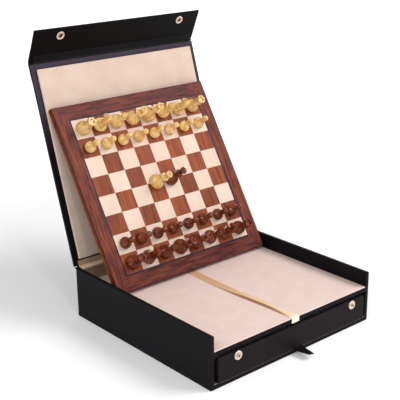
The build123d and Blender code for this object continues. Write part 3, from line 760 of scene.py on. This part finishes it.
def soft_panel(name, size, edge, crown=0.0):
    """A velvet-covered panel standing on z = 0: rounded edges and a slightly crowned top."""
    deselect_all()
    bpy.ops.mesh.primitive_cube_add(size=1, location=(0, 0, (size[2] - crown) / 2))
    panel = bpy.context.object
    panel.name = name
    panel.scale = (size[0], size[1], size[2] - crown)
    keep_place(panel)
    round_edges(panel, edge, 4)
    if crown:
        select_faces(panel, lambda face: face.normal.z > 0.99)
        for step in range(crown_steps):
            bpy.ops.mesh.inset(thickness=min(size[0], size[1]) * crown_inset)
            bpy.ops.transform.translate(value=(0, 0, crown / 2 ** (step + 1)))
        bpy.ops.object.mode_set(mode="OBJECT")
    smooth(panel, 60)
    return panel


def line_level(node, material, body, edge):
    """Replace a level lining by a soft panel of its own size."""
    low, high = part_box(node)
    panel = soft_panel(f"{node}_velvet", high - low, edge)
    panel.location = ((low.x + high.x) / 2, (low.y + high.y) / 2, low.z)
    keep_place(panel)
    dress(panel, material, body)
    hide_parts(node)


line_level("deck_lining", velvet, "case", 1.2 * MM)
# the bay under the drawer in the painted-shade velvet
line_level("bay_lining", shaded_velvet, "case", 0.3 * MM)
line_level("drawer_lining", velvet, "drawer", 0.6 * MM)
line_level("drawer_divider", velvet, "drawer", 1.6 * MM)

pad_edge = 2.2 * MM
pad_crown = 0.5 * MM


def make_lid_pad():
    """The padded velvet panel inside the lid."""
    start, end = reach_along("lid_pad", lid_axis, lid_along)
    inner, outer = reach_along("lid_pad", lid_axis, lid_out)
    low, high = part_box("lid_pad")
    size = (high.x - low.x, end - start, outer - inner)
    pad = soft_panel("lid_pad_velvet", size, pad_edge, pad_crown)
    origin = lid_axis + lid_along * ((start + end) / 2) + lid_out * outer
    pad.matrix_world = turned_frame(origin, X_AXIS, lid_along)
    keep_place(pad)
    dress(pad, lid_velvet, "lid")
    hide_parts("lid_pad")


make_lid_pad()


# ---------------------------------------------------------------- strips that follow a line
def strip(name, line, half, thick, outward, shaped=None):
    """A sheet extruded along a line, smoothed, shaped by a function and given its thickness."""
    first = line[1] - line[0]
    deselect_all()
    bpy.ops.mesh.primitive_plane_add(size=1, location=(line[0] + line[1]) / 2)
    sheet = bpy.context.object
    sheet.name = name
    sheet.scale = (2 * half, hypot(first.y, first.z), 1)
    sheet.rotation_euler = (atan2(first.z, first.y), 0, 0)
    keep_place(sheet)
    middle = (line[0] + line[1]) / 2
    select_edges(sheet, lambda point: (point - middle).dot(first) > 0)
    for before, after in zip(line[1:], line[2:]):
        bpy.ops.mesh.extrude_edges_move(TRANSFORM_OT_translate={"value": after - before})
    bpy.ops.object.mode_set(mode="OBJECT")
    rounded = sheet.modifiers.new("Rounded", "SUBSURF")
    rounded.levels = 2
    rounded.render_levels = 2
    rounded.boundary_smooth = "PRESERVE_CORNERS"
    apply_modifiers(sheet)
    if shaped:
        for vertex in sheet.data.vertices:
            vertex.co = shaped(vertex.co)
    solid = sheet.modifiers.new("Thickness", "SOLIDIFY")
    solid.thickness = thick
    solid.offset = outward
    apply_modifiers(sheet)
    face_outwards(sheet)
    smooth(sheet, 50)
    return sheet


def on_lid(along, out):
    """A point of the lid: millimetres from its hinge line, and out of its inner plane."""
    return lid_axis + lid_along * (along * MM) + lid_out * (out * MM)


def near_lid_end(along, out):
    """A point of the lid, counted from its end at the flap."""
    return on_lid(lid_length / MM + along, out)


def on_flap(along, out):
    """A point of the flap: millimetres from its hinge line, and out of its inner plane."""
    return flap_axis + flap_along * (along * MM) + flap_out * (out * MM)


def on_back(behind, above):
    """A point near the back wall's top: millimetres behind its outer face and above its top."""
    return Vector((0, back_y + behind * MM, wall_top + above * MM))


cover_thick = 0.5 * MM
cover_half = half_width - 5.6 * MM
tray_half = half_width - wall_thick - 0.4 * MM
lid_skin = lid_panel_outer / MM + 0.2
lid_lining = lid_panel_inner / MM - 0.3
flap_skin = flap_panel_outer / MM + 0.2


def make_hinge_covers():
    """The leatherette and velvet that run on over the two hinges."""
    outer_lid = strip(
        "outer_lid_hinge",
        [on_back(0.2, -34), on_back(0.2, -20), on_back(0.2, -9), on_back(0.5, -3.5),
         on_back(3.2, -0.6), on_lid(1.6, lid_skin - 0.6), on_lid(4.5, lid_skin),
         on_lid(12, lid_skin), on_lid(24, lid_skin)],
        cover_half, cover_thick, 1.0,
    )
    dress(outer_lid, leatherette)
    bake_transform(outer_lid)

    inner_lid = strip(
        "inner_lid_hinge",
        [on_back(-7.9, -3.4), on_back(-7.4, -0.4), on_back(-5.6, 0.5), on_back(-2.8, 0.35),
         on_back(-0.4, 0.2), on_lid(1.8, lid_lining - 0.5), on_lid(5, lid_lining - 0.2),
         on_lid(9, lid_lining), on_lid(13.5, lid_lining)],
        tray_half, cover_thick, 1.0,
    )
    dress(inner_lid, ridge_velvet)
    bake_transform(inner_lid)

    outer_flap = strip(
        "outer_flap_hinge",
        [near_lid_end(-26, lid_skin), near_lid_end(-14, lid_skin), near_lid_end(-5, lid_skin),
         near_lid_end(-1.5, lid_skin + 0.1), on_flap(1.5, flap_skin + 0.2), on_flap(5, flap_skin),
         on_flap(12, flap_skin), on_flap(22, flap_skin)],
        half_width, cover_thick, 1.0,
    )
    dress(outer_flap, leatherette)
    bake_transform(outer_flap)

    inner_flap = strip(
        "inner_flap_hinge",
        [near_lid_end(-10, 0.3), near_lid_end(-6, 0.3), near_lid_end(-3.5, 0.4),
         near_lid_end(-1.2, 0.9), on_flap(1.2, -0.6), on_flap(3.5, -0.3), on_flap(7, -0.2),
         on_flap(12, -0.2)],
        tray_half, cover_thick, 1.0,
    )
    dress(inner_flap, fold_highlight_leatherette)
    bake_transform(inner_flap)


def make_back_lining():
    """The velvet on the back wall, bulging into a soft ridge along its top."""
    low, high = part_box("back_lining")
    front = low.y + 0.2 * MM
    # forward of the lining's face, and below its top, in millimetres
    ridge = ((0, 5), (0.9, 2.8), (0.8, 1.4), (-0.6, 0.9))
    line = [Vector((0, front, low.z)), Vector((0, front, low.z + 8 * MM))]
    for forward, below in ridge:
        line.append(Vector((0, front - forward * MM, high.z - below * MM)))
    lining = strip("back_lining_velvet", line, tray_half, 1.0 * MM, 1.0)
    dress(lining, shaded_velvet, "case")
    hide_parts("back_lining")


make_hinge_covers()
make_back_lining()


# ---------------------------------------------------------------- ribbon
ribbon_width = 15 * MM
ribbon_skin = 0.35 * MM
# where its middle runs: (y, x) in millimetres from the case's middle, from back to front
ribbon_course = (
    (95, -2.5), (70, -4.2), (45, -5.8), (20, -7.2), (-10, -7.8), (-40, -7.4), (-70, -6.3),
    (-100, -4.4), (-125, -2.8), (-145, -1.6), (-154, -1.1),
)
ribbon_crest = 3.0 * MM
ribbon_arch_front, ribbon_arch_back = -157 * MM, 40 * MM
# below 1 the first moves the crest to the front; above 1 the second draws out the arch's ends
ribbon_forward, ribbon_ease = 0.6, 1.3
# how high each of its five columns of points stands, from left to right
ribbon_column_lifts = (0.0, 1.0, 0.75, 0.45, 0.2)


def ribbon_middle(y):
    """Where the middle of the ribbon runs at a distance from the case's middle."""
    for (y_back, x_back), (y_front, x_front) in zip(ribbon_course, ribbon_course[1:]):
        if y / MM > y_front:
            share = min(1.0, (y_back - y / MM) / (y_back - y_front))
            return (x_back + (x_front - x_back) * share) * MM
    return ribbon_course[-1][1] * MM


def ribbon_creased(point):
    """The ribbon arches off the deck, and its left quarter turns down along a crease."""
    share = (point.y - ribbon_arch_front) / (ribbon_arch_back - ribbon_arch_front)
    if not 0 < share < 1:
        return point
    crest = ribbon_crest * sin(pi * share ** ribbon_forward) ** ribbon_ease
    column = round(4 * (point.x - ribbon_middle(point.y)) / ribbon_width)
    column = max(-2, min(2, column))
    quarter = ribbon_width / 4
    drawn_in = quarter - sqrt(quarter ** 2 - crest ** 2) if column == -2 else 0.0
    return point + Vector((drawn_in, 0, crest * ribbon_column_lifts[column + 2]))


def make_ribbon():
    """The satin ribbon: creased and arched off the deck, with its end folded over the front."""
    laid = deck_top + ribbon_skin / 2 + 0.1 * MM
    line = [Vector((x * MM, y * MM, laid)) for y, x in ribbon_course]
    end_x = line[-1].x
    line.append(Vector((end_x, front_y + 0.7 * MM, laid + 0.1 * MM)))
    line.append(Vector((end_x, front_y - 0.25 * MM, deck_top - 0.5 * MM)))
    line.append(Vector((end_x, front_y - 0.4 * MM, deck_top - 2.2 * MM)))
    line.append(Vector((end_x, front_y - 0.35 * MM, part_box("lift_ribbon")[0].z)))
    ribbon = strip("ribbon", line, ribbon_width / 2, ribbon_skin, 0.0, ribbon_creased)
    dress(ribbon, satin, "case")
    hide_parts("lift_ribbon")


make_ribbon()


tongue_half = 9.2 * MM
tongue_thick = 1.1 * MM
tip_narrowing = 0.42
tip_rise = 0.6 * MM
tip_twist = 0.22


def make_pull_tab():
    """The leatherette tongue under the drawer front: it narrows, and twists a little at its tip."""
    low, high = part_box("pull_tab")
    middle_x = (low.x + high.x) / 2
    root_y, tip_y = drawer_front_low.y, low.y - 1.5 * MM
    level = high.z - 0.6 * MM
    between = (-168 * MM, -175 * MM, -182 * MM)
    line = [Vector((middle_x, y, level)) for y in (high.y, root_y, *between, tip_y)]

    def narrowed(point):
        share = max(0.0, min(1.0, (root_y - point.y) / (root_y - tip_y)))
        across = (point.x - middle_x) * (1 - tip_narrowing * share)
        rise = (tip_rise - tip_twist * across) * share ** 2
        return Vector((middle_x + across, point.y, point.z + rise))

    tongue = strip("pull_tongue", line, tongue_half, tongue_thick, 0.0, narrowed)
    dress(tongue, leatherette, "drawer")
    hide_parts("pull_tab")


make_pull_tab()


# ---------------------------------------------------------------- snaps
def turned(name, profile, bore, dish, steps=40):
    """A closed solid of revolution, extruded ring by ring.

    The profile is (radius, height) pairs in millimetres. The sunk attribute is 1 inside the bore's
    radius and a half between the dish's two radii.
    """
    deselect_all()
    radius, height = profile[0]
    bpy.ops.mesh.primitive_circle_add(
        vertices=steps, radius=radius * MM, fill_type="NGON", location=(0, 0, height * MM)
    )
    piece = bpy.context.object
    piece.name = name
    keep_place(piece)
    select_faces(piece, lambda face: True)
    for next_radius, next_height in profile[1:]:
        rise = (next_height - height) * MM
        bpy.ops.mesh.extrude_region_move(TRANSFORM_OT_translate={"value": (0, 0, rise)})
        grow = next_radius / radius
        bpy.ops.transform.resize(value=(grow, grow, 1), center_override=(0, 0, next_height * MM))
        radius, height = next_radius, next_height
    bpy.ops.object.mode_set(mode="OBJECT")
    face_outwards(piece)
    sunk = piece.data.attributes.new("sunk", "FLOAT", "POINT")
    for vertex in piece.data.vertices:
        radius = hypot(vertex.co.x, vertex.co.y) / MM
        in_dish = dish[0] < radius < dish[1]
        sunk.data[vertex.index].value = 1.0 if radius < bore else 0.5 if in_dish else 0.0
    smooth(piece, 35)
    return piece


# the flap's half: a rolled rim, a pressed dish and a bore
socket_profile = (
    (1.3, 0.3), (1.9, 0.35), (2.1, 0.6), (2.3, 1.15), (2.7, 1.5), (3.3, 1.55), (3.8, 1.25),
    (4.2, 0.85), (4.8, 0.8), (5.4, 1.1), (6.0, 1.4), (6.5, 1.3), (6.9, 0.9), (7.0, 0.4),
    (7.0, 0.02),
)
# the drawer's half: a waisted post in a dish with a rolled rim
stud_profile = (
    (0.8, 3.15), (1.5, 3.05), (2.0, 2.7), (2.15, 2.25), (1.8, 1.8), (1.7, 1.2), (2.3, 0.7),
    (3.2, 0.65), (4.2, 0.8), (5.2, 1.15), (6.0, 1.45), (6.5, 1.35), (6.9, 0.9), (7.0, 0.4),
    (7.0, 0.02),
)
# the plain cap on the flap's outer face
cap_profile = (
    (1.0, 1.35), (2.5, 1.3), (4.2, 1.15), (5.6, 0.9), (6.5, 0.6), (6.95, 0.3), (7.0, 0.02),
)

studs_low, studs_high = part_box("drawer_studs")
snap_radius = socket_profile[-1][0] * MM
snap_xs = {"left": studs_low.x + snap_radius, "right": studs_high.x - snap_radius}
snap_height = (studs_low.z + studs_high.z) / 2
snap_along = sum(reach_along("flap_sockets", flap_axis, flap_along)) / 2


def make_snaps(name, profile, bore, dish, node, body, placing):
    """The left and right piece of one half of the snaps."""
    for side, x in snap_xs.items():
        piece = turned(f"{name}_{side}", profile, bore, dish)
        piece.matrix_world = placing(x)
        keep_place(piece)
        dress(piece, snap_metal, body)
        if side == "left":
            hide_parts(node)


def on_flap_inside(x):
    """The placing of a socket on the flap's inner face."""
    return turned_frame(flap_axis + flap_along * snap_along + X_AXIS * x, X_AXIS, flap_along)


def on_flap_outside(x):
    """The placing of a cap on the flap's outer face."""
    origin = flap_axis + flap_along * snap_along + flap_out * flap_panel_outer + X_AXIS * x
    return turned_frame(origin, -X_AXIS, flap_along)


def on_drawer_front(x):
    """The placing of a stud on the drawer's front."""
    return turned_frame(Vector((x, drawer_front_low.y, snap_height)), X_AXIS, Z_AXIS)


# the bore's and dish's radii set where the metal paints shadow and shade
socket_dish, stud_dish, no_dish = (2.6, 4.3), (2.25, 2.4), (0.0, 0.0)
make_snaps("flap_socket", socket_profile, 2.6, socket_dish, "flap_sockets", "flap", on_flap_inside)
make_snaps("flap_cap", cap_profile, 0.0, no_dish, "flap_caps", "flap", on_flap_outside)
make_snaps("drawer_stud", stud_profile, 1.6, stud_dish, "drawer_studs", "drawer", on_drawer_front)


# ---------------------------------------------------------------- floor, light and camera
floor_side = 16
# metres from the box where the floor starts to glow, and where it is white
glow_near, glow_far = 0.45, 1.7
light_aim = Vector((0, 0, 0.15))
world_strength = 0.5


def make_floor():
    """A pale floor that turns white away from the box."""
    deselect_all()
    bpy.ops.mesh.primitive_plane_add(size=floor_side)
    floor = bpy.context.object
    floor.name = "floor"
    material, n, shader, place = new_material("pale_floor")
    cloudy = n.noise(place, 1.2)
    n.put(shader, "Base Color", n.mix(cloudy, srgb(246, 246, 246), srgb(249, 249, 249)))
    shader.inputs["Roughness"].default_value = 0.8
    shader.inputs["Specular IOR Level"].default_value = 0.1
    away = n.add("ShaderNodeVectorMath", operation="LENGTH")
    n.put(away, 0, place)
    glow = n.step(away.outputs["Value"], glow_near, glow_far)
    n.put(shader, "Emission Color", n.mix(glow, srgb(122, 122, 122), srgb(255, 255, 255)))
    shader.inputs["Emission Strength"].default_value = 0.7
    floor.data.materials.append(material)


def area_light(name, place, size, power):
    """A round soft light that looks at the box."""
    light = bpy.data.lights.new(name, "AREA")
    light.shape = "DISK"
    light.size = size
    light.energy = power
    lamp = bpy.data.objects.new(name, light)
    lamp.location = place
    lamp.rotation_euler = (light_aim - Vector(place)).to_track_quat("-Z", "Y").to_euler()
    bpy.context.scene.collection.objects.link(lamp)


def make_lights():
    """Three soft lights, and a world that the camera sees as white."""
    area_light("left_box", (-1.9, -0.9, 1.8), 0.9, 14)
    area_light("front_box", (-0.75, -1.85, 1.4), 0.22, 6)
    area_light("right_box", (1.6, -1.4, 2.3), 1.8, 56)
    world = bpy.data.worlds.new("studio")
    world.use_nodes = True
    background = world.node_tree.nodes["Background"]
    background.inputs["Color"].default_value = (1, 1, 1, 1)
    n = Nodes(world.node_tree)
    seen = n.add("ShaderNodeLightPath").outputs["Is Camera Ray"]
    n.put(background, "Strength", n.math("MAXIMUM", seen, world_strength))
    bpy.context.scene.world = world
    bpy.context.scene.view_settings.view_transform = "Standard"


# the camera, solved from the board's grid, the case and the lid in the photograph
camera_azimuth = radians(-40.901)
camera_elevation = radians(18.939)
camera_roll = radians(-0.6)
camera_distance = 1.3902
camera_aim = Vector((-0.0423, 0.0, 0.2059))
camera_lens = 84.49
camera_sensor = 36.0


def make_camera():
    """The photograph's camera."""
    data = bpy.data.cameras.new("camera")
    data.lens = camera_lens
    data.sensor_width = camera_sensor
    data.clip_start = 0.05
    camera = bpy.data.objects.new("camera", data)
    bpy.context.scene.collection.objects.link(camera)
    level = cos(camera_elevation)
    back = Vector(
        (sin(camera_azimuth) * level, -cos(camera_azimuth) * level, sin(camera_elevation))
    )
    right = Z_AXIS.cross(back).normalized()
    up = back.cross(right)
    turn = Matrix((right, up, back)).transposed() @ Matrix.Rotation(camera_roll, 3, "Z")
    camera.matrix_world = Matrix.Translation(camera_aim + back * camera_distance) @ turn.to_4x4()
    bpy.context.scene.camera = camera


make_floor()
make_lights()
make_camera()
